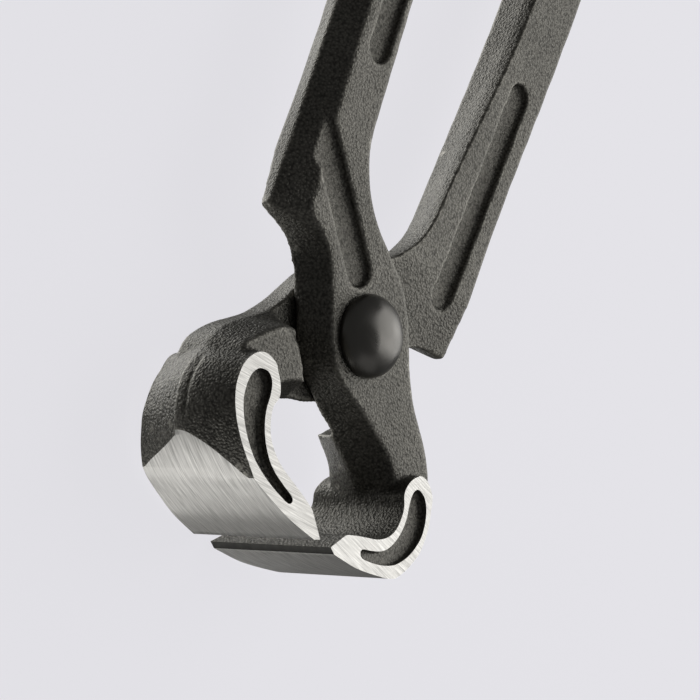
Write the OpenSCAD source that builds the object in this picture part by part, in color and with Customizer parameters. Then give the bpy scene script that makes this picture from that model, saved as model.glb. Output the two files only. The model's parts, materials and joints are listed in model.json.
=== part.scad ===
// End cutting nippers: two equal forged levers, one turned over about the long axis, on one domed rivet.
// Millimetres. Y is the long axis with the handles at +Y, Z is the pivot axis, the jaws rest at the floor.

/* [Head] */
// Length of each cutting edge along the pivot axis
jaw_w = 25; // [23:0.5:27]
// Distance from the pivot axis to the cutting edges
jaw_l = 36; // [34:0.5:38]
// Width of the head, from which all widths across the levers are drawn
head_w = 51; // [48:0.5:54]
// Gap between the two cutting edges as drawn
edge_gap = 2.7; // [2.2:0.1:3.2]
// Width of the flat land on each cutting edge
edge_land = 1.2; // [0.8:0.1:1.6]
// Fall of the back of a jaw from its middle band to its ends
jaw_crown = 3; // [2.4:0.1:3.6]
// Width of the trimmed band along the middle of a jaw's back
band_w = 1.8; // [1:0.1:2.6]
// Lean of a jaw's end face towards the handles
end_lean = 7.3; // [5:0.1:9]
// Lean of a jaw's end face towards its back
end_side_lean = 3.8; // [2:0.1:5]
// Depth of the comma-shaped recess in each end face
recess_depth = 1.3; // [0.8:0.1:1.8]

/* [Joint] */
// Thickness of each lever at the lap joint
plate_t = 6.4; // [5.8:0.1:7]
// Radius of the round lap recess
lap_r = 15.4; // [15:0.1:15.8]
// Gap between the two lap faces
lap_gap = 0.12; // [0.06:0.02:0.2]
// Diameter of the rivet's shank
rivet_d = 8.6; // [7:0.2:9.6]
// Diameter of the rivet's heads
rivet_head_d = 13.3; // [12.5:0.1:14]
// Height of the rivet's heads
rivet_head_h = 4.6; // [3.6:0.1:5.2]
// Radial running clearance of the turning lever on the rivet
run_clear = 0.05; // [0.03:0.01:0.09]
// Gap under the head on the turning side
head_gap = 0.1; // [0.06:0.02:0.2]

/* [Handles] */
// Distance from the pivot axis to the handle ends
handle_l = 174; // [160:1:190]
// Height of the handle's lap side beyond the lap plane
handle_back = 1.6; // [1.2:0.1:2]
// Depth of the long recessed panels
panel_depth = 1.4; // [1:0.1:1.8]
// Width of the panel on the neck
neck_panel_w = 5.3; // [4.6:0.1:6]
// Width of the panels on the handle
handle_panel_w = 4.6; // [4:0.1:5.4]

/* [Hidden] */
$fn = 96;
// overrun of cutting bodies past the surface they cut
over = 1;
// size of the bodies that trim the jaw ends
trim = head_w + handle_l;
half_w = head_w / 2;
half_gap = edge_gap / 2;
// the jaw's front and lap side ends
sides = [0, 1];
// steps in the profile of a rivet head
head_steps = 9;
// steps of a smooth curve from one row of its table to the next
curve_steps = 3;

// centre that the jaw's back falls towards at its ends, as shares of half_w and jaw_l
crown_centre_share = [0.3, -0.5];
// back of the jaw at its middle band, from the neck round to below the edge
back_shares = [
    [0.815, -0.391], [0.88, -0.384], [0.945, -0.405], [1, -0.45], [1.033, -0.527], [1.046, -0.609],
    [1.027, -0.686], [0.983, -0.767], [0.912, -0.843], [0.82, -0.912], [0.715, -0.972], [0.57, -1.031],
    [0.356, -1.088], [0.144, -1.114]
];
// inside of the jaw from the edge bevel back up to the neck
inside_shares = [
    [0.172, -0.886], [0.275, -0.856], [0.38, -0.83], [0.475, -0.806], [0.55, -0.775], [0.608, -0.736],
    [0.647, -0.686], [0.665, -0.63], [0.665, -0.583], [0.64, -0.547], [0.64, -0.514], [0.663, -0.472],
    [0.698, -0.439], [0.721, -0.424]
];
// ground outer bevel from the edge up over the back of the jaw
bevel_shares = [
    [0.29, -0.993], [0.41, -0.975], [0.565, -0.947], [0.682, -0.925], [0.8, -0.886], [0.914, -0.839],
    [1.06, -0.764]
];
// corners that close the outline of the part of the jaw inside the bevel
bevel_far_shares = [[1.35, -0.6], [1.35, 0], [0.06, 0]];
// comma-shaped recess in the end faces
comma_shares = [
    [0.8, -0.462], [0.864, -0.48], [0.908, -0.536], [0.916, -0.62], [0.89, -0.684], [0.834, -0.755],
    [0.757, -0.817], [0.675, -0.861], [0.56, -0.897], [0.45, -0.919], [0.37, -0.928], [0.342, -0.91],
    [0.36, -0.889], [0.44, -0.869], [0.53, -0.842], [0.6, -0.806], [0.663, -0.747], [0.703, -0.681],
    [0.72, -0.617], [0.717, -0.556], [0.726, -0.502], [0.757, -0.47]
];

// Lever sections from the neck down to the jaw. Each row: height as a share of jaw_l, then as shares of
// half_w the front face from left to right, the widest line left and right, the lap side left and right.
neck_shares = [
    [1.22, -0.918, -0.569, -1.04, -0.508, -0.995, -0.5],
    [0.98, -0.894, -0.546, -1.027, -0.465, -0.98, -0.453],
    [0.76, -0.867, -0.518, -1.01, -0.433, -0.975, -0.418],
    [0.63, -0.855, -0.441, -1, -0.367, -0.975, -0.354],
    [0.53, -0.839, -0.337, -0.998, -0.267, -0.973, -0.255],
    [0.45, -0.82, -0.196, -0.996, -0.156, -0.971, -0.15],
    [0.4, -0.808, -0.063, -0.99, -0.04, -0.97, -0.045],
    [0.31, -0.792, 0.16, -0.985, 0.2, -0.968, 0.19],
    [0.26, -0.66, 0.225, -0.982, 0.275, -0.967, 0.26],
    [0.244, -0.62, 0.245, -0.83, 0.29, -0.86, 0.28],
    [0.228, -0.585, 0.265, -0.72, 0.31, -0.75, 0.3],
    [0.192, -0.525, 0.31, -0.625, 0.36, -0.65, 0.34],
    [0.136, -0.466, 0.355, -0.55, 0.41, -0.576, 0.39],
    [0.08, -0.42, 0.4, -0.5, 0.45, -0.525, 0.43],
    [0, -0.357, 0.467, -0.455, 0.5, -0.45, 0.45],
    [-0.1, -0.284, 0.576, -0.39, 0.6, -0.2, 0.48],
    [-0.16, -0.22, 0.667, -0.335, 0.69, 0.2, 0.52],
    [-0.21, -0.158, 0.753, -0.275, 0.775, 0.62, 0.67],
    [-0.25, -0.068, 0.816, -0.2, 0.84, 0.52, 0.735],
    [-0.28, 0.063, 0.855, -0.135, 0.885, 0.455, 0.78],
    [-0.31, 0.22, 0.89, -0.05, 0.92, 0.392, 0.825],
    [-0.344, 0.35, 0.925, 0.03, 0.95, 0.34, 0.87],
    [-0.37, 0.46, 0.945, 0.13, 0.97, 0.41, 0.905],
    [-0.4, 0.55, 0.957, 0.24, 0.98, 0.49, 0.93],
    [-0.44, 0.62, 0.96, 0.37, 0.985, 0.56, 0.94],
    [-0.48, 0.662, 0.955, 0.47, 0.98, 0.595, 0.94],
    [-0.52, 0.69, 0.94, 0.56, 0.97, 0.65, 0.93],
    [-0.57, 0.72, 0.92, 0.7, 0.95, 0.7, 0.91]
];
// The same kind of rows for the handle, heights as shares of the handle beyond the neck.
handle_shares = [
    [1, -0.87, -0.7, -0.945, -0.69, -0.92, -0.7],
    [0.992, -0.92, -0.665, -1.02, -0.648, -0.985, -0.66],
    [0.975, -0.95, -0.655, -1.065, -0.63, -1.025, -0.64],
    [0.93, -0.97, -0.655, -1.095, -0.625, -1.055, -0.635],
    [0.8, -0.99, -0.665, -1.12, -0.635, -1.08, -0.645],
    [0.55, -1, -0.67, -1.13, -0.645, -1.09, -0.655],
    [0.35, -0.985, -0.655, -1.115, -0.635, -1.075, -0.645],
    [0.17, -0.955, -0.625, -1.085, -0.608, -1.045, -0.615]
];
// ends of the panel's middle line on the neck
neck_panel_shares = [[-0.25, 0.226], [-1.05, 0.73]];
// ends of the middle line of the front and the lap side panels on the handle
front_panel_shares = [[-0.718, 1.145], [-0.82, 2.6]];
lap_panel_shares = [[-0.722, 0.49], [-0.796, 1.58]];

// height of the widest line as a share of plate_t, on the outer and the inner side of the handle
ridge_share = 0.28;
inner_share = 0.08;
// heights, as shares of jaw_l, between which the lap side turns into the lug and into the back of the handle
lug_shares = [0.02, -0.22];
grip_shares = [0.22, 0.54];
neck_top = neck_shares[0][0] * jaw_l;
function plan(s) = [s[0] * half_w, s[1] * jaw_l];
function lift(s) = neck_top + s * (handle_l - neck_top);
// smooth curve through rows of numbers, closed to a loop or open
function row_at(rows, i, closed) =
    closed ? rows[(i + len(rows)) % len(rows)] : rows[max(0, min(len(rows) - 1, i))];
function between(a, b, c, d, t) =
    b + (c - a) * t / 2 + (2 * a - 5 * b + 4 * c - d) * t ^ 2 / 2 + (3 * b - a - 3 * c + d) * t ^ 3 / 2;
function curve(rows, closed) = concat(
    [for (i = [0:len(rows) - (closed ? 1 : 2)], k = [0:curve_steps - 1])
        between(row_at(rows, i - 1, closed), rows[i], row_at(rows, i + 1, closed),
            row_at(rows, i + 2, closed), k / curve_steps)],
    closed ? [] : [rows[len(rows) - 1]]
);
// how far a height has come from the first to the second of two limits, from 0 to 1
function ramp(y, from, to) = max(0, min(1, (y - from) / (to - from)));
function headward(y) = ramp(y, lug_shares[0] * jaw_l, lug_shares[1] * jaw_l);
function handward(y) = ramp(y, grip_shares[0] * jaw_l, grip_shares[1] * jaw_l);
function back_z(y) = -handle_back * handward(y) - plate_t * headward(y);
function ridge_z(y) = ridge_share * plate_t * (1 - headward(y));
function inner_z(y) = inner_share * plate_t * (1 - headward(y));
function sized(row, y) = concat(y, [for (k = [1:len(row) - 1]) row[k] * half_w]);
lever_rows = concat(
    [for (row = handle_shares) sized(row, lift(row[0]))],
    [for (row = neck_shares) sized(row, row[0] * jaw_l)]
);
function section(row) =
    let (y = row[0])
    [[row[1], y, plate_t], [row[2], y, plate_t], [row[4], y, inner_z(y)],
        [row[6], y, back_z(y)], [row[5], y, back_z(y)], [row[3], y, ridge_z(y)]];

// Solid through a list of outlines that all have the same even number of points, closed at both ends
module loft(rings) {
    n = len(rings[0]);
    last = len(rings) - 1;
    points = [for (ring = rings) each ring];
    sides_a = [for (i = [0:last - 1], k = [0:n - 1]) [i * n + k, i * n + (k + 1) % n, (i + 1) * n + k]];
    sides_b = [for (i = [0:last - 1], k = [0:n - 1])
        [i * n + (k + 1) % n, (i + 1) * n + (k + 1) % n, (i + 1) * n + k]];
    strip = [for (k = [0:n / 2 - 2]) each [[k, n - 2 - k, k + 1], [k, n - 1 - k, n - 2 - k]]];
    far_strip = [for (t = strip) [last * n + t[0], last * n + t[2], last * n + t[1]]];
    polyhedron(points, concat(sides_a, sides_b, strip, far_strip), convexity = 8);
}

// Outline of the jaw, its back moved in by the given fall
function drawn_in(p, fall) =
    let (c = plan(crown_centre_share), d = c - p) p + d * fall / norm(d);
back_line = curve([for (s = back_shares) plan(s)], false);
inside_line = curve([for (s = inside_shares) plan(s)], false);
function jaw_ring(fall, z) = concat(
    [for (p = back_line) concat(drawn_in(p, fall), z)],
    [[half_gap, -jaw_l - over, z], [half_gap, edge_land / 2 - jaw_l, z]],
    [for (p = inside_line) concat(p, z)]
);
end_z = jaw_w / 2 + over;
band_z = band_w / 2;

// Places a child on the end face of the jaw, on the front side or the lap side
module on_end(side) {
    mirror([0, 0, side])
        translate([half_gap, edge_land / 2 - jaw_l, jaw_w / 2])
            rotate([-end_lean, end_side_lean, 0])
                translate([-half_gap, jaw_l - edge_land / 2, 0])
                    children();
}

module jaw() {
    difference() {
        intersection() {
            loft([jaw_ring(jaw_crown, -end_z), jaw_ring(0, -band_z), jaw_ring(0, band_z),
                jaw_ring(jaw_crown, end_z)]);
            linear_extrude(height = jaw_w + 2 * over, center = true)
                polygon(concat([[half_gap, edge_land / 2 - jaw_l], [half_gap + edge_land, -jaw_l]],
                    curve([for (s = bevel_shares) plan(s)], false), [for (s = bevel_far_shares) plan(s)]));
        }
        for (side = sides) {
            on_end(side) translate([-trim / 2, -trim / 2, 0]) cube(trim);
            on_end(side)
                translate([0, 0, -recess_depth])
                    linear_extrude(height = recess_depth + over)
                        polygon(curve([for (s = comma_shares) plan(s)], true));
        }
    }
}

// Long panel with round ends along a middle line
module panel(shares, w, z, h) {
    a = plan(shares[0]);
    b = plan(shares[1]);
    turn = atan2(b[1] - a[1], b[0] - a[0]);
    run = norm(b - a);
    translate([a[0], a[1], z])
        rotate(turn) {
            cylinder(d = w, h = h);
            translate([run, 0, 0]) cylinder(d = w, h = h);
            translate([0, -w / 2, 0]) cube([run, w, h]);
        }
}

// One forged lever with its handle on the left and its front face up, with a bore of the given radius
module forging(bore_r) {
    difference() {
        union() {
            loft([for (row = curve(lever_rows, false)) section(row)]);
            jaw();
        }
        translate([0, 0, -jaw_w])
            cylinder(r = lap_r, h = jaw_w + lap_gap / 2);
        translate([0, 0, -over])
            cylinder(r = bore_r, h = plate_t + 2 * over);
        panel(neck_panel_shares, neck_panel_w, plate_t - panel_depth, panel_depth + over);
        panel(front_panel_shares, handle_panel_w, plate_t - panel_depth, panel_depth + over);
        panel(lap_panel_shares, handle_panel_w, -handle_back - over, panel_depth + over);
    }
}

// Half profile of one rivet head from its rim to its crown
function dome(z, dir) = [for (k = [0:head_steps])
    let (a = 90 * k / head_steps) [cos(a) * rivet_head_d / 2, z + dir * sin(a) * rivet_head_h]];

module front_lever() {
    color([0.2, 0.2, 0.2]) forging(rivet_d / 2);
}

module rear_lever() {
    color([0.24, 0.24, 0.24]) rotate([0, 180, 0]) forging(rivet_d / 2 + run_clear);
}

module pivot_rivet() {
    color([0.12, 0.12, 0.12])
        rotate_extrude()
            polygon(concat(
                dome(plate_t, 1),
                [for (k = [head_steps:-1:0]) dome(-plate_t - head_gap, -1)[k]],
                [[rivet_d / 2, -plate_t - head_gap], [rivet_d / 2, plate_t]]
            ));
}

module placed() {
    translate([0, (jaw_l - handle_l) / 2, jaw_w / 2]) children();
}

placed() front_lever();
placed() rear_lever();
placed() pivot_rivet();
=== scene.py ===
"""End cutting nippers: forged skin, ground jaws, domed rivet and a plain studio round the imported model."""

import json
import math

import bpy
from bpy.props import FloatProperty, FloatVectorProperty, IntProperty, PointerProperty
from mathutils import Matrix, Vector


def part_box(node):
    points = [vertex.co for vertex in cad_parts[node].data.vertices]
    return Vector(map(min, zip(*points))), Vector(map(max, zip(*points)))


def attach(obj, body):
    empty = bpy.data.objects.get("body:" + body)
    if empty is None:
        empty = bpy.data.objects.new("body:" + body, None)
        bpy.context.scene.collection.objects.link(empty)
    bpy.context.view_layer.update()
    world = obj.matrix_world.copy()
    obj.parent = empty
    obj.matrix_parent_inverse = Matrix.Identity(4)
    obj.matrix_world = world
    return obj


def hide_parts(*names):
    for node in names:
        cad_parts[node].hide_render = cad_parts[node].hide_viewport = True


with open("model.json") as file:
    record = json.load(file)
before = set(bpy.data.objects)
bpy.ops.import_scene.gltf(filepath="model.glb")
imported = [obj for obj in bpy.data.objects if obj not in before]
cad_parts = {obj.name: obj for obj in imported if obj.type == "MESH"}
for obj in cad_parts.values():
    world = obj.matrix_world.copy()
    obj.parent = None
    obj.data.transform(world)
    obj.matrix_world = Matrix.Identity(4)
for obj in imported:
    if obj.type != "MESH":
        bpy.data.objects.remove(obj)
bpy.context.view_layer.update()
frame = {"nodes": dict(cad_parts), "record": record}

bl_info = {
    "name": "End Cutting Nippers",
    "version": (1, 0, 0),
    "blender": (4, 5, 0),
    "location": "View3D > Sidebar > Nippers",
    "description": "Builds forged end cutting nippers with ground jaws on a domed rivet",
    "category": "Object",
}

MM = 0.001
# where the rivet's axis crosses the lap plane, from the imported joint
PIVOT = Vector(frame["record"]["behaviour"]["joints"][0]["pos_m"])
# finishes of a lever, in the order of its material slots; the land's finish is a near-black painted shade
FORGED, GROUND, LAND_PAINTED_SHADE = 0, 1, 2
# how near the CAD's points are taken as one, and its faces as lying on a plane
SAME_POINT, ON_PLANE = 0.001 * MM, 0.02 * MM
# faces that turn less than this from one to the next are shaded as one
SHADED_AS_ONE = math.radians(38)


def linear(hex_colour):
    """Linear red, green and blue of an sRGB hex colour."""
    parts = [int(hex_colour[i:i + 2], 16) / 255 for i in (1, 3, 5)]
    return tuple(c / 12.92 if c <= 0.04045 else ((c + 0.055) / 1.055) ** 2.4 for c in parts)


class NippersForging(bpy.types.PropertyGroup):
    """Sizes of the forged levers and of their ground faces."""

    skin_step: FloatProperty(
        name="Skin Step", description="Spacing of the points on the forged skin",
        default=0.38 * MM, min=0.3 * MM, max=1 * MM, precision=5, unit="LENGTH")
    soft_passes: IntProperty(
        name="Soft Edges", description="Smoothing passes that round the forged edges",
        default=6, min=0, max=40)
    grind_stock: FloatProperty(
        name="Grinding Stock", description="Metal on the jaw ends that grinding takes off",
        default=2.2 * MM, min=0, max=4 * MM, precision=5, unit="LENGTH")
    bevel_stock: FloatProperty(
        name="Bevel Stock", description="Length of the forged jaw past its ground bevel, before grinding",
        default=8 * MM, min=0, max=12 * MM, precision=5, unit="LENGTH")
    band_rise: FloatProperty(
        name="Flash Band", description="Height of the trimmed flash band along the back of a jaw",
        default=0.35 * MM, min=0, max=0.8 * MM, precision=5, unit="LENGTH")
    back_round: FloatProperty(
        name="Back Rounding",
        description="How far the lap side half of a jaw's back bulges between band and end",
        default=0.5 * MM, min=0, max=1.2 * MM, precision=5, unit="LENGTH")
    corner_passes: IntProperty(
        name="Lap Corner",
        description="Smoothing passes that round the corner of the lap shoulder above a jaw",
        default=30, min=0, max=80)
    recess_round: FloatProperty(
        name="Recess Rounding", description="Radius round the floor of the recesses in the jaw ends",
        default=0.4 * MM, min=0, max=0.8 * MM, precision=5, unit="LENGTH")


class NippersRivet(bpy.types.PropertyGroup):
    """Sizes of the rivet."""

    rim: FloatProperty(
        name="Rim", description="Radius of the rounded rim under the rivet's domes",
        default=0.35 * MM, min=0, max=0.8 * MM, precision=5, unit="LENGTH")
    dome_steps: IntProperty(
        name="Dome Steps", description="Steps of the profile of a dome", default=18, min=6, max=48)
    turns: IntProperty(
        name="Steps Round", description="Steps round the rivet", default=96, min=24, max=192)


class NippersLook(bpy.types.PropertyGroup):
    """Colours and grain of the finishes."""

    forged_colour: FloatVectorProperty(
        name="Forged Steel", description="Colour of the black finished forging",
        default=linear("#6A6862"), size=3, min=0, max=1, subtype="COLOR")
    ground_colour: FloatVectorProperty(
        name="Ground Steel", description="Colour of the ground jaw ends and bevels",
        default=linear("#D0CEC9"), size=3, min=0, max=1, subtype="COLOR")
    # painted shade: the land's near-black colour stands in for the shade between the jaws
    land_painted_shade_colour: FloatVectorProperty(
        name="Edge Land", description="Colour of the narrow blackened land of a cutting edge",
        default=linear("#33322F"), size=3, min=0, max=1, subtype="COLOR")
    rivet_colour: FloatVectorProperty(
        name="Rivet", description="Colour of the blackened rivet",
        default=linear("#767470"), size=3, min=0, max=1, subtype="COLOR")
    floor_colour: FloatVectorProperty(
        name="Floor", description="Colour of the floor and the studio's far walls",
        default=linear("#E2E1E6"), size=3, min=0, max=1, subtype="COLOR")
    grain: FloatProperty(
        name="Forged Grain", description="Spacing of the pits on the blasted forging",
        default=0.34 * MM, min=0.2 * MM, max=2 * MM, precision=5, unit="LENGTH")
    grind_line: FloatProperty(
        name="Grinding Lines", description="Spacing of the lines that the grinding wheel leaves",
        default=0.36 * MM, min=0.1 * MM, max=1 * MM, precision=5, unit="LENGTH")


def add(tree, kind, settings=None, **inputs):
    """Adds a node to a tree, with settings and with inputs that are values or the sockets they come from."""
    made = tree.nodes.new(kind)
    for key, value in (settings or {}).items():
        setattr(made, key, value)
    for key, value in inputs.items():
        # an input goes by its name, or by its number where a node has several of one name
        socket = made.inputs[int(key[1:])] if key[0] == "_" else made.inputs[key.replace("_", " ")]
        if isinstance(value, bpy.types.NodeSocket):
            tree.links.new(value, socket)
        else:
            socket.default_value = value
    return made


def new_material(name):
    """Empty node material and its node tree."""
    mat = bpy.data.materials.new(name)
    mat.use_nodes = True
    mat.node_tree.nodes.clear()
    return mat, mat.node_tree


def close(tree, shader):
    """Leads a shader to the material's output."""
    add(tree, "ShaderNodeOutputMaterial", Surface=shader.outputs["BSDF"])


def forged_steel():
    """Blasted and blackened forging: a dull dark metal sheen with fine leathery pits, and edges lightened
    partly as rubbed wear and partly as a painted highlight.
    """
    look = bpy.context.scene.nippers_look
    mat, tree = new_material("forged_steel_blasted_black")
    at = add(tree, "ShaderNodeTexCoord").outputs["Object"]
    # real pits are down to 0.1 mm, so they are drawn coarser, at the spacing that still shows
    pits = add(tree, "ShaderNodeTexNoise", Vector=at, Scale=1 / look.grain, Detail=2.0, Roughness=0.55)
    pebbles = add(tree, "ShaderNodeTexVoronoi", {"feature": "SMOOTH_F1"}, Vector=at, Scale=0.8 / look.grain,
                  Smoothness=0.5)
    grain = add(tree, "ShaderNodeMath", {"operation": "SUBTRACT"}, _0=pits.outputs["Fac"],
                _1=pebbles.outputs["Distance"])
    cloud = add(tree, "ShaderNodeTexNoise", Vector=at, Scale=1 / (9 * MM), Detail=2.0)
    tone = add(tree, "ShaderNodeMapRange", Value=cloud.outputs["Fac"],
               From_Min=0.3, From_Max=0.7, To_Min=0.88, To_Max=1.1)
    shade = add(tree, "ShaderNodeMapRange", Value=grain.outputs["Value"],
                From_Min=-0.35, From_Max=0.35, To_Min=0.56, To_Max=1.44)
    # the edges are lightened in colour: partly rubbed wear, partly a painted highlight along them
    edges = add(tree, "ShaderNodeNewGeometry").outputs["Pointiness"]
    edge_wear_and_highlight = add(tree, "ShaderNodeMapRange", Value=edges,
               From_Min=0.51, From_Max=0.55, To_Min=1.0, To_Max=1.9)
    both = add(tree, "ShaderNodeMath", {"operation": "MULTIPLY"}, _0=tone.outputs["Result"],
               _1=shade.outputs["Result"])
    worn_and_highlit = add(tree, "ShaderNodeMath", {"operation": "MULTIPLY"}, _0=both.outputs["Value"],
               _1=edge_wear_and_highlight.outputs["Result"])
    colour = add(tree, "ShaderNodeVectorMath", {"operation": "SCALE"}, _0=look.forged_colour[:],
                 Scale=worn_and_highlit.outputs["Value"])
    clean = add(tree, "ShaderNodeMapRange", Value=edges,
                From_Min=0.505, From_Max=0.54, To_Min=1.0, To_Max=0.25)
    bump = add(tree, "ShaderNodeBump", Strength=clean.outputs["Result"], Distance=0.12 * MM,
               Height=grain.outputs["Value"])
    shader = add(tree, "ShaderNodeBsdfPrincipled", Base_Color=colour.outputs["Vector"],
                 Metallic=0.9, Roughness=0.5, Normal=bump.outputs["Normal"])
    close(tree, shader)
    return mat


def ground_steel():
    """Steel from a coarse grinding wheel: bright, with close irregular lines all one way across each face."""
    look = bpy.context.scene.nippers_look
    mat, tree = new_material("tool_steel_ground")
    at = add(tree, "ShaderNodeUVMap", {"uv_map": "grind"}).outputs["UV"]
    # a wheel's lines lie closer than shows at this size, so they are drawn coarser; each is about 6 mm long
    laid = add(tree, "ShaderNodeMapping", Vector=at,
               Scale=(1 / (6 * MM), 1 / look.grind_line, 1.0)).outputs["Vector"]
    lines = add(tree, "ShaderNodeTexNoise", Vector=laid, Scale=1.0, Detail=3.0, Roughness=0.6)
    tone = add(tree, "ShaderNodeMapRange", Value=lines.outputs["Fac"],
               From_Min=0.3, From_Max=0.7, To_Min=0.66, To_Max=1.18)
    colour = add(tree, "ShaderNodeVectorMath", {"operation": "SCALE"}, _0=look.ground_colour[:],
                 Scale=tone.outputs["Result"])
    rough = add(tree, "ShaderNodeMapRange", Value=lines.outputs["Fac"],
                From_Min=0.3, From_Max=0.7, To_Min=0.5, To_Max=0.36)
    bump = add(tree, "ShaderNodeBump", Strength=0.8, Distance=0.08 * MM, Height=lines.outputs["Fac"])
    shader = add(tree, "ShaderNodeBsdfPrincipled", Base_Color=colour.outputs["Vector"],
                 Metallic=1.0, Roughness=rough.outputs["Result"], Normal=bump.outputs["Normal"])
    close(tree, shader)
    return mat


def land_steel_painted_shade():
    """Land of a cutting edge, painted nearly black as the shade that falls between the jaws: smooth, with
    faint cloudy patches.
    """
    look = bpy.context.scene.nippers_look
    mat, tree = new_material("tool_steel_land_painted_shade")
    at = add(tree, "ShaderNodeTexCoord").outputs["Object"]
    patches = add(tree, "ShaderNodeTexNoise", Vector=at, Scale=1 / (1.5 * MM), Detail=2.0)
    tone = add(tree, "ShaderNodeMapRange", Value=patches.outputs["Fac"],
               From_Min=0.3, From_Max=0.7, To_Min=0.7, To_Max=1.3)
    colour = add(tree, "ShaderNodeVectorMath", {"operation": "SCALE"}, _0=look.land_painted_shade_colour[:],
                 Scale=tone.outputs["Result"])
    shader = add(tree, "ShaderNodeBsdfPrincipled", Base_Color=colour.outputs["Vector"],
                 Metallic=0.9, Roughness=0.45)
    close(tree, shader)
    return mat


def rivet_steel():
    """Pressed and blackened rivet head: smooth and half gloss, so it shows the light as one soft patch."""
    look = bpy.context.scene.nippers_look
    mat, tree = new_material("rivet_steel_pressed_black")
    at = add(tree, "ShaderNodeTexCoord").outputs["Object"]
    fine = add(tree, "ShaderNodeTexNoise", Vector=at, Scale=1 / (0.5 * MM), Detail=2.0)
    smudges = add(tree, "ShaderNodeTexNoise", Vector=at, Scale=1 / (3.5 * MM), Detail=1.0)
    rough = add(tree, "ShaderNodeMapRange", Value=smudges.outputs["Fac"],
                From_Min=0.35, From_Max=0.65, To_Min=0.26, To_Max=0.42)
    bump = add(tree, "ShaderNodeBump", Strength=0.08, Distance=0.03 * MM, Height=fine.outputs["Fac"])
    shader = add(tree, "ShaderNodeBsdfPrincipled", Base_Color=(*look.rivet_colour, 1.0),
                 Metallic=1.0, Roughness=rough.outputs["Result"], Normal=bump.outputs["Normal"])
    close(tree, shader)
    return mat


def only(obj):
    """Makes one object the only one selected, and the active one."""
    bpy.ops.object.select_all(action="DESELECT")
    obj.select_set(True)
    bpy.context.view_layer.objects.active = obj


def cad_copy(node, name):
    """Copy of a CAD node with its triangles joined at their corners."""
    obj = bpy.data.objects.new(name, frame["nodes"][node].data.copy())
    obj.data.name = name
    bpy.context.scene.collection.objects.link(obj)
    obj.data.materials.clear()
    only(obj)
    bpy.ops.object.mode_set(mode="EDIT")
    bpy.ops.mesh.select_all(action="SELECT")
    bpy.ops.mesh.remove_doubles(threshold=SAME_POINT)
    bpy.ops.object.mode_set(mode="OBJECT")
    return obj


def pick(obj, test):
    """Opens an object in edit mode with the faces selected that pass the test."""
    only(obj)
    mesh = obj.data
    for part in (mesh.vertices, mesh.edges, mesh.polygons):
        part.foreach_set("select", [False] * len(part))
    chosen = [face for face in mesh.polygons if test(face)]
    if not chosen:
        raise RuntimeError(f"no face of {obj.name} was found for this step")
    for face in chosen:
        face.select = True
    bpy.context.tool_settings.mesh_select_mode = (False, False, True)
    bpy.ops.object.mode_set(mode="EDIT")


def apply(obj, name, kind, **settings):
    """Adds a modifier and applies it."""
    only(obj)
    mod = obj.modifiers.new(name, kind)
    for key, value in settings.items():
        setattr(mod, key, value)
    bpy.ops.object.modifier_apply(modifier=mod.name)


def cut(obj, cutter, finish):
    """Cuts a body out of an object and gives the cut faces a finish."""
    for mat in obj.data.materials:
        cutter.data.materials.append(mat)
    cutter.data.polygons.foreach_set("material_index", [finish] * len(cutter.data.polygons))
    apply(obj, "cut", "BOOLEAN", object=cutter, operation="DIFFERENCE", solver="EXACT", material_mode="INDEX")
    bpy.data.objects.remove(cutter)


def prism(name, outline, low, high):
    """Upright body over an outline of flat points, from one height to another."""
    bpy.ops.object.select_all(action="DESELECT")
    bpy.ops.mesh.primitive_circle_add(vertices=len(outline), fill_type="NGON")
    obj = bpy.context.object
    obj.name = name
    for vertex, point in zip(obj.data.vertices, outline):
        vertex.co = (point[0], point[1], low)
    bpy.ops.object.mode_set(mode="EDIT")
    bpy.ops.mesh.select_all(action="SELECT")
    bpy.ops.mesh.extrude_region_move(TRANSFORM_OT_translate={"value": (0, 0, high - low)})
    bpy.ops.mesh.select_all(action="SELECT")
    bpy.ops.mesh.normals_make_consistent(inside=False)
    bpy.ops.object.mode_set(mode="OBJECT")
    return obj


class JawEnd:
    """Plane of one end face of the front lever's jaw, found on its CAD node."""

    # the jaw lies this far below the pivot, and its end faces this far from the lap plane, leaning a little
    jaw_top, least_height, most_lean, least_lean = 10 * MM, 7 * MM, 0.98, 0.995

    def __init__(self, mesh, side):
        faces = [f for f in mesh.polygons
                 if self.most_lean < f.normal.z * side < self.least_lean and f.normal.y > 0.1
                 and f.center.y < PIVOT.y - self.jaw_top
                 and (f.center.z - PIVOT.z) * side > self.least_height]
        if not faces:
            raise RuntimeError("the jaw's end face was not found on the CAD node")
        self.normal = sum((f.normal * f.area for f in faces), Vector()).normalized()
        self.level = max(f.center.dot(self.normal) for f in faces)
        self.depth = self.level - min(f.center.dot(self.normal) for f in faces)
        middle = sum((f.center * f.area for f in faces), Vector()) / sum(f.area for f in faces)
        self.middle = middle + self.normal * (self.level - middle.dot(self.normal))

    def below(self, point):
        """How far a point lies below the end face."""
        return self.level - point.dot(self.normal)

    def is_level(self, face, depth):
        """Whether a face of the CAD node lies along the end face, at a depth below it."""
        return face.normal.dot(self.normal) > 0.9995 and abs(self.below(face.center) - depth) < ON_PLANE

    def is_face(self, face):
        """Whether a face of the CAD node lies on the end face."""
        return self.is_level(face, 0)

    def is_floor(self, face):
        """Whether a face of the CAD node is on the floor of the recess."""
        return self.is_level(face, self.depth)

    def is_recess(self, mesh, face):
        """Whether a face of the CAD node is on the floor or wall of the recess."""
        depths = [self.below(mesh.vertices[i].co) for i in face.vertices]
        at_ends = all(min(abs(d), abs(d - self.depth)) < ON_PLANE for d in depths)
        return at_ends and max(depths) > self.depth / 2 and face.center.y < PIVOT.y - self.jaw_top


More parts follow.
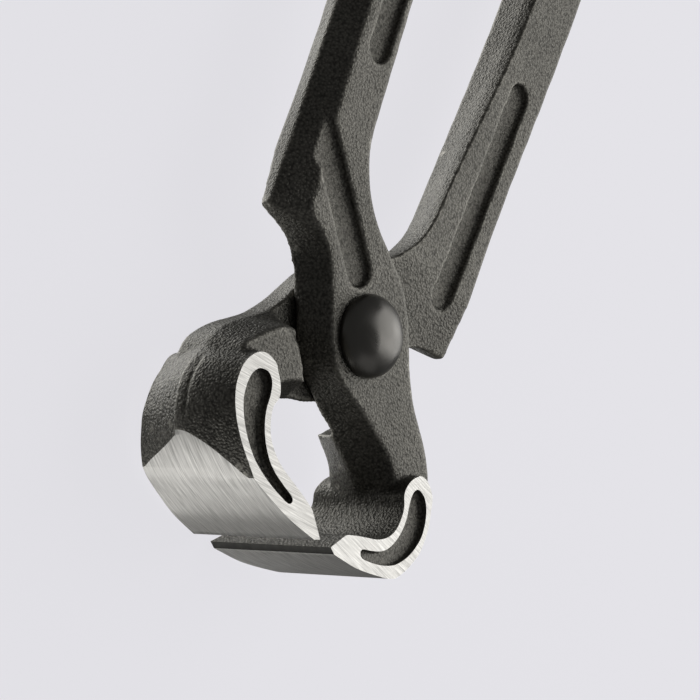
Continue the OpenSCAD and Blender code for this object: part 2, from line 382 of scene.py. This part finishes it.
def on_bevel(face):
    """Whether a face of the front lever is ground: on the outer bevel or on the land of the edge."""
    # such a face points mostly down the jaw and hardly to its ends
    bevel_top, least_down, most_sideways = PIVOT.y - 29 * MM, 0.7, 0.2
    points_down = face.normal.y < -least_down and abs(face.normal.z) < most_sideways
    return points_down and face.center.y < bevel_top


def ease(value, start, end):
    """Soft step from 0 at the start to 1 at the end."""
    t = min(1, max(0, (value - start) / (end - start)))
    return t * t * (3 - 2 * t)


def die_marks(blank, size):
    """Raises the trimmed flash band along the back of the jaw and sets off the two die halves beside it."""
    # places in mm from the pivot: depth down the jaw, and height from the lap plane
    inside, neck, facing_out = 8, -14, 0.25
    marks_start, bulge_end, groove_end = (15.5, 19), (23, 29), (25, 29)
    band_side, band_edge, half_width = (0.7, 1.05), 1, 11.5
    groove_low, groove_high, groove_share = (-1.7, -1.25), (-1.2, -0.8), 0.8
    # the bulge is fullest nearer the band, and fades by this share towards the bevel
    bulge_skew, bulge_fade = 0.6, 0.8
    # the other half is fuller by the bevel and flatter above it
    other_half, full, flat = (2, 12), 0.6, 0.55
    full_start, flat_start, flat_end = (27, 32), (16, 19), (22, 27)
    moves = []
    for v in blank.data.vertices:
        x, y, z = (v.co - PIVOT) / MM
        if x < inside or y > neck or v.normal.x < facing_out:
            continue
        top = ease(-y, *marks_start)
        t = min(1, max(0, (-z - band_edge) / half_width))
        band = (1 - ease(z, *band_side)) * (1 - t)
        groove = ease(z, *groove_low) * (1 - ease(z, *groove_high)) * (1 - ease(-y, *groove_end))
        round_over = math.sin(math.pi * t ** bulge_skew) * (1 - bulge_fade * ease(-y, *bulge_end))
        far = full * ease(-y, *full_start) - flat * ease(-y, *flat_start) * (1 - ease(-y, *flat_end))
        far = ease(z, *other_half) * far
        near = size.band_rise * (band - groove_share * groove) + size.back_round * round_over
        rise = near * top + far * MM
        moves.append((v.index, v.co + v.normal * rise))
    for index, place in moves:
        blank.data.vertices[index].co = place


def round_lap_corner(blank, size):
    """Rounds the corner where the inside of the jaw meets the shoulder of the lap joint."""
    # in mm: how far from the corner the rounding reaches, and how far from the lap plane it starts and ends
    reach, start, last = (0.9, 2.2), (0.8, 2.2), 7.5
    # the corner's line starts here on the lap plane and leans outwards and up the jaw as it leaves it
    foot_x, foot_y, lean_x, lean_y = 6.4, -14.4, 0.425, 0.29
    group = blank.vertex_groups.new(name="lap_corner")
    for v in blank.data.vertices:
        x, y, z = (v.co - PIVOT) / MM
        away = math.hypot(x - foot_x + lean_x * z, y - foot_y + lean_y * z)
        if away < reach[1] and -last < z < -start[0]:
            group.add([v.index], (1 - ease(away, *reach)) * ease(-z, *start), "REPLACE")
    apply(blank, "lap corner", "SMOOTH", factor=0.5, iterations=size.corner_passes, vertex_group=group.name)
    blank.vertex_groups.clear()


def forged_blank(size, ends):
    """The front lever as it leaves the hammer, with stock on its jaw and with soft edges."""
    blank = cad_copy("front_lever", "front_lever_forging")
    pick(blank, lambda f: any(end.is_recess(blank.data, f) for end in ends))
    bpy.ops.mesh.delete(type="FACE")
    bpy.context.tool_settings.mesh_select_mode = (False, True, False)
    bpy.ops.mesh.select_all(action="DESELECT")
    bpy.ops.mesh.select_non_manifold()
    bpy.ops.mesh.fill_holes(sides=0)
    bpy.ops.object.mode_set(mode="OBJECT")
    for end in ends:
        pick(blank, end.is_face)
        bpy.ops.mesh.extrude_region_move(TRANSFORM_OT_translate={"value": end.normal * size.grind_stock})
        bpy.ops.object.mode_set(mode="OBJECT")
    along_edge = Vector((-0.72, -0.69, 0))
    pick(blank, on_bevel)
    bpy.ops.mesh.extrude_region_move(TRANSFORM_OT_translate={"value": along_edge * size.bevel_stock})
    bpy.ops.object.mode_set(mode="OBJECT")
    apply(blank, "forged skin", "REMESH", mode="VOXEL", voxel_size=size.skin_step)
    apply(blank, "soft edges", "SMOOTH", factor=0.5, iterations=size.soft_passes)
    round_lap_corner(blank, size)
    die_marks(blank, size)
    return blank


def bevel_cutter(ends):
    """Body outside the ground bevel and the land, over the whole width of the jaw."""
    node = cad_copy("front_lever", "bevel_line")
    mesh = node.data
    ground = [f for f in mesh.polygons if on_bevel(f) and not any(end.is_recess(mesh, f) for end in ends)]
    corners = {i for f in ground for i in f.vertices}
    line = {(round(v.x, 6), round(v.y, 6)) for v in (mesh.vertices[i].co for i in corners)}
    bpy.data.objects.remove(node)
    points = [Vector(p) for p in sorted(line)]
    least_step = 0.25 * MM
    line = points[:1]
    line += [p for p, q in zip(points[1:], points) if (p - q).length > least_step]
    # the bevel's line is split and smoothed, so that it shows no flats, and lifted a little at its far end
    land, line = line[:1], line[1:]
    parts, passes = 3, 24
    line = [p.lerp(q, k / parts) for p, q in zip(line, line[1:]) for k in range(parts)] + line[-1:]
    for _ in range(passes):
        middles = [(p + 2 * q + r) / 4 for p, q, r in zip(line, line[1:], line[2:])]
        line = [line[0], *middles, line[-1]]
    lift_way, lift, lifted = Vector((-0.4, 0.9)), 0.28, (13, 22)
    line = land + [p + lift_way * lift * MM * ease(p.x / MM, *lifted) for p in line]
    # past both ends it runs on straight, beyond the stock
    past_land, past_back, past_width = 9 * MM, 12, 20 * MM
    start = line[0] + (line[0] - line[1]).normalized() * past_land
    way = (line[-1] - line[-2]).normalized()
    line += [line[-1] + way * k * MM for k in range(1, past_back + 1)]
    low = PIVOT.y - 60 * MM
    outline = [start, *line, Vector((line[-1].x, low)), Vector((start.x, low))]
    return prism("bevel_cutter", outline, PIVOT.z - past_width, PIVOT.z + past_width)


def end_cutter(end):
    """Block that lies on the end face of the jaw."""
    turn = Vector((0, 0, 1)).rotation_difference(end.normal)
    length, width, thick = 70 * MM, 36 * MM, 12 * MM
    bpy.ops.object.select_all(action="DESELECT")
    bpy.ops.mesh.primitive_cube_add(size=1, location=end.middle + end.normal * thick / 2)
    obj = bpy.context.object
    obj.name = "end_cutter"
    obj.rotation_euler = turn.to_euler()
    obj.scale = (length, width, thick)
    bpy.ops.object.transform_apply(location=True, rotation=True, scale=True)
    return obj


def recess_cutter(end, size):
    """Body of the comma-shaped recess in an end face, with a rounded floor."""
    past_face = 3 * MM
    obj = cad_copy("front_lever", "recess_cutter")
    pick(obj, lambda f: not end.is_floor(f))
    bpy.ops.mesh.delete(type="FACE")
    bpy.ops.mesh.select_all(action="SELECT")
    bpy.ops.mesh.dissolve_faces()
    bpy.ops.mesh.select_all(action="SELECT")
    bpy.ops.mesh.extrude_region_move(TRANSFORM_OT_translate={"value": end.normal * (end.depth + past_face)})
    bpy.ops.mesh.select_all(action="SELECT")
    bpy.ops.mesh.normals_make_consistent(inside=False)
    bpy.ops.object.mode_set(mode="OBJECT")
    pick(obj, lambda f: f.normal.dot(end.normal) < -0.9)
    bpy.ops.mesh.bevel(offset=size.recess_round, segments=2, affect="EDGES", clamp_overlap=True)
    bpy.ops.object.mode_set(mode="OBJECT")
    return obj


def join_slivers(obj):
    """Merges the points that the cuts left almost on top of each other, and takes out faces with no width."""
    apart, no_width = 0.004 * MM, 0.002 * MM
    only(obj)
    bpy.ops.object.mode_set(mode="EDIT")
    bpy.ops.mesh.select_all(action="SELECT")
    bpy.ops.mesh.remove_doubles(threshold=apart)
    bpy.ops.mesh.dissolve_degenerate(threshold=no_width)
    bpy.ops.object.mode_set(mode="OBJECT")


def lay_grinding_lines(obj, ends):
    """Flat coordinates along and across the grinding lines of the ground faces. The land is given the
    near-black painted shade.
    """
    across_end, across_bevel = Vector((0.09, 1, 0)), Vector((0, 0, 1))
    # the lines on the end faces are finer, and the land is the ground strip that faces inwards
    end_fineness, facing_in = 1.6, -0.3
    layer = obj.data.uv_layers.new(name="grind")
    for face in obj.data.polygons:
        if face.material_index != GROUND:
            continue
        # the inward-facing strip takes the near-black painted shade
        if face.normal.x < facing_in:
            face.material_index = LAND_PAINTED_SHADE
            continue
        on_end = any(face.normal.dot(end.normal) > 0.99 for end in ends)
        across = across_end if on_end else across_bevel
        for i in face.loop_indices:
            p = obj.data.vertices[obj.data.loops[i].vertex_index].co
            layer.data[i].uv = (p.x, p.dot(across) * (end_fineness if on_end else 1))


class NIPPERS_OT_front_lever(bpy.types.Operator):
    """Forges the front lever and grinds its jaw"""

    bl_idname = "nippers.front_lever"
    bl_label = "Front Lever"

    def execute(self, context):
        size = context.scene.nippers_forging
        node = cad_copy("front_lever", "jaw_ends")
        ends = [JawEnd(node.data, side) for side in (1, -1)]
        bpy.data.objects.remove(node)
        lever = forged_blank(size, ends)
        lever.data.materials.append(forged_steel())
        lever.data.materials.append(ground_steel())
        lever.data.materials.append(land_steel_painted_shade())
        cut(lever, bevel_cutter(ends), GROUND)
        for end in ends:
            cut(lever, end_cutter(end), GROUND)
        for end in ends:
            cut(lever, recess_cutter(end, size), FORGED)
        join_slivers(lever)
        lay_grinding_lines(lever, ends)
        bpy.ops.object.shade_smooth_by_angle(angle=SHADED_AS_ONE)
        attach(lever, "front")
        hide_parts("front_lever")
        return {"FINISHED"}


class NIPPERS_OT_rear_lever(bpy.types.Operator):
    """Turns a copy of the front lever half round about the long axis for the rear lever"""

    bl_idname = "nippers.rear_lever"
    bl_label = "Rear Lever"

    def execute(self, context):
        front = context.scene.objects["front_lever_forging"]
        lever = bpy.data.objects.new("rear_lever_forging", front.data.copy())
        context.scene.collection.objects.link(lever)
        lap = Matrix.Translation((0, 0, PIVOT.z))
        lever.data.transform(lap @ Matrix.Rotation(math.pi, 4, "Y") @ lap.inverted())
        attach(lever, "rear")
        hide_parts("rear_lever")
        return {"FINISHED"}


class NIPPERS_OT_pivot_rivet(bpy.types.Operator):
    """Turns the rivet with its two domed heads"""

    bl_idname = "nippers.pivot_rivet"
    bl_label = "Pivot Rivet"

    def execute(self, context):
        size = context.scene.nippers_rivet
        low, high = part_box("pivot_rivet")
        radius = (high.x - low.x) / 2
        # thickness of a lever under a head, and the shank's radius
        plate, shank = 6.4 * MM, 4.25 * MM
        rise = high.z - PIVOT.z - plate
        angles = [math.pi / 2 * k / size.dome_steps for k in range(size.dome_steps + 1)]
        dome = [(radius * math.cos(a), rise * math.sin(a)) for a in angles]
        # the middle of the rounded rim stands this share of its radius in from the corner
        inset = size.rim * 0.3
        foot = [(radius - size.rim, 0), (radius - inset, inset)]
        top = [(r, high.z - rise + h) for r, h in foot + dome[1:]]
        bottom = [(r, low.z + rise - h) for r, h in foot + dome[1:]]
        line = bottom[::-1] + [(shank, bottom[0][1]), (shank, top[0][1])] + top
        bpy.ops.object.select_all(action="DESELECT")
        bpy.ops.mesh.primitive_circle_add(vertices=len(line), fill_type="NOTHING")
        rivet = context.object
        rivet.name = "pivot_rivet_turned"
        for vertex, (r, z) in zip(rivet.data.vertices, line):
            vertex.co = (PIVOT.x + r, PIVOT.y, z)
        # the profile is open along the axis, so the edge that closes the circle goes
        bpy.ops.object.mode_set(mode="EDIT")
        bpy.context.tool_settings.mesh_select_mode = (False, True, False)
        bpy.ops.mesh.select_all(action="DESELECT")
        bpy.ops.object.mode_set(mode="OBJECT")
        closing = {0, len(line) - 1}
        for edge in rivet.data.edges:
            edge.select = set(edge.vertices) == closing
        bpy.ops.object.mode_set(mode="EDIT")
        bpy.ops.mesh.delete(type="EDGE")
        bpy.ops.mesh.select_all(action="SELECT")
        bpy.ops.mesh.spin(steps=size.turns, angle=2 * math.pi, center=PIVOT, axis=(0, 0, 1))
        bpy.ops.mesh.select_all(action="SELECT")
        bpy.ops.mesh.remove_doubles(threshold=0.002 * MM)
        bpy.ops.mesh.normals_make_consistent(inside=False)
        bpy.ops.object.mode_set(mode="OBJECT")
        bpy.ops.object.shade_smooth_by_angle(angle=SHADED_AS_ONE)
        rivet.data.materials.append(rivet_steel())
        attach(rivet, "front")
        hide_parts("pivot_rivet")
        return {"FINISHED"}


class NIPPERS_OT_stage(bpy.types.Operator):
    """Sets the floor, the studio lights and the camera"""

    bl_idname = "nippers.stage"
    bl_label = "Studio"

    # the floor is mostly lit from within, so that it stays one even pale tone
    floor_size, floor_paint, floor_glow = 8, 0.16, 0.95
    fill = 0.1
    # softbox and rim light on the right, glow from behind, low lamps before the jaws and below:
    # direction from the pivot, distance in m, size in m and power in W
    lights = {
        "softbox": ((0.64, 0.46, 0.6), 0.8, 0.95, 4.0),
        "back_glow": ((-0.2, 0.44, -0.875), 0.8, 0.66, 3.7),
        "low_front": ((-0.04, -0.83, -0.55), 0.15, 0.12, 0.044),
        "front": ((0.0, -0.95, -0.25), 0.8, 0.6, 0.55),
        "far_right": ((0.86, 0.48, 0.16), 0.8, 0.4, 0.42),
        "jaw_side": ((0.5, -0.75, 0.42), 0.8, 0.7, 0.3),
        "low_back": ((0.5, 0.1, -0.86), 0.8, 0.42, 1.0),
    }
    # the camera's place, and the directions that point right, up and back in its picture
    eye = (-0.2946, -0.2340, 0.3109)
    right, up, back = (0.581, 0.310, 0.752), (-0.478, 0.879, 0.007), (-0.659, -0.363, 0.659)
    lens, sensor = 147.9, 36

    def execute(self, context):
        self.lay_floor(context)
        self.fill_studio(context)
        self.set_lights(context)
        self.set_camera(context)
        context.scene.view_settings.view_transform = "Standard"
        return {"FINISHED"}

    def lay_floor(self, context):
        """Pale floor that takes no part in the light on the nippers."""
        colour = context.scene.nippers_look.floor_colour
        bpy.ops.object.select_all(action="DESELECT")
        bpy.ops.mesh.primitive_plane_add(size=self.floor_size)
        floor = context.object
        floor.name = "studio_floor"
        mat, tree = new_material("studio_floor_matt_paint")
        paint = [c * self.floor_paint for c in colour]
        shader = add(tree, "ShaderNodeBsdfPrincipled", Base_Color=(*paint, 1.0), Roughness=0.9,
                     Emission_Color=(*colour, 1.0), Emission_Strength=self.floor_glow, Specular_IOR_Level=0.0)
        close(tree, shader)
        floor.data.materials.append(mat)
        floor.visible_diffuse = floor.visible_glossy = floor.visible_shadow = False

    def fill_studio(self, context):
        """Pale far walls for the camera, and a weak even fill for everything else."""
        world = bpy.data.worlds.new("studio")
        context.scene.world = world
        world.use_nodes = True
        tree = world.node_tree
        tree.nodes.clear()
        colour = context.scene.nippers_look.floor_colour
        far = add(tree, "ShaderNodeBackground", Color=(*colour, 1.0), Strength=1.0)
        fill = add(tree, "ShaderNodeBackground", Strength=self.fill)
        seen = add(tree, "ShaderNodeLightPath").outputs["Is Camera Ray"]
        mixed = add(tree, "ShaderNodeMixShader", _0=seen, _1=fill.outputs[0], _2=far.outputs[0])
        add(tree, "ShaderNodeOutputWorld", Surface=mixed.outputs[0])

    def set_lights(self, context):
        """Square lamps that all face the pivot."""
        for name, (way, distance, width, watts) in self.lights.items():
            way = Vector(way).normalized()
            bpy.ops.object.light_add(type="AREA", location=PIVOT + way * distance)
            lamp = context.object
            lamp.name = name
            lamp.rotation_euler = way.to_track_quat("Z", "Y").to_euler()
            lamp.data.shape = "SQUARE"
            lamp.data.size = width
            lamp.data.energy = watts

    def set_camera(self, context):
        """Long lens that looks down at the jaws from the front left."""
        bpy.ops.object.camera_add(location=self.eye)
        camera = context.object
        camera.name = "camera"
        camera.rotation_euler = Matrix((self.right, self.up, self.back)).transposed().to_euler()
        camera.data.lens = self.lens
        camera.data.sensor_width = self.sensor
        camera.data.clip_start = 0.01
        context.scene.camera = camera


class NIPPERS_PT_panel(bpy.types.Panel):
    """Steps and sizes of the nippers"""

    bl_idname = "NIPPERS_PT_panel"
    bl_label = "End Cutting Nippers"
    bl_space_type = "VIEW_3D"
    bl_region_type = "UI"
    bl_category = "Nippers"

    def draw(self, context):
        scene = context.scene
        for step in STEPS:
            self.layout.operator(step.bl_idname)
        for group in (scene.nippers_forging, scene.nippers_rivet, scene.nippers_look):
            box = self.layout.box()
            for name in group.bl_rna.properties.keys():
                if name not in ("rna_type", "name"):
                    box.prop(group, name)


GROUPS = {"nippers_forging": NippersForging, "nippers_rivet": NippersRivet, "nippers_look": NippersLook}
STEPS = (NIPPERS_OT_front_lever, NIPPERS_OT_rear_lever, NIPPERS_OT_pivot_rivet, NIPPERS_OT_stage)


def register():
    for cls in (*GROUPS.values(), *STEPS, NIPPERS_PT_panel):
        bpy.utils.register_class(cls)
    for name, cls in GROUPS.items():
        setattr(bpy.types.Scene, name, PointerProperty(type=cls))


def unregister():
    for name in GROUPS:
        delattr(bpy.types.Scene, name)
    for cls in reversed((*GROUPS.values(), *STEPS, NIPPERS_PT_panel)):
        bpy.utils.unregister_class(cls)


def main():
    register()
    bpy.ops.nippers.front_lever()
    bpy.ops.nippers.rear_lever()
    bpy.ops.nippers.pivot_rivet()
    bpy.ops.nippers.stage()


if __name__ == "__main__":
    main()
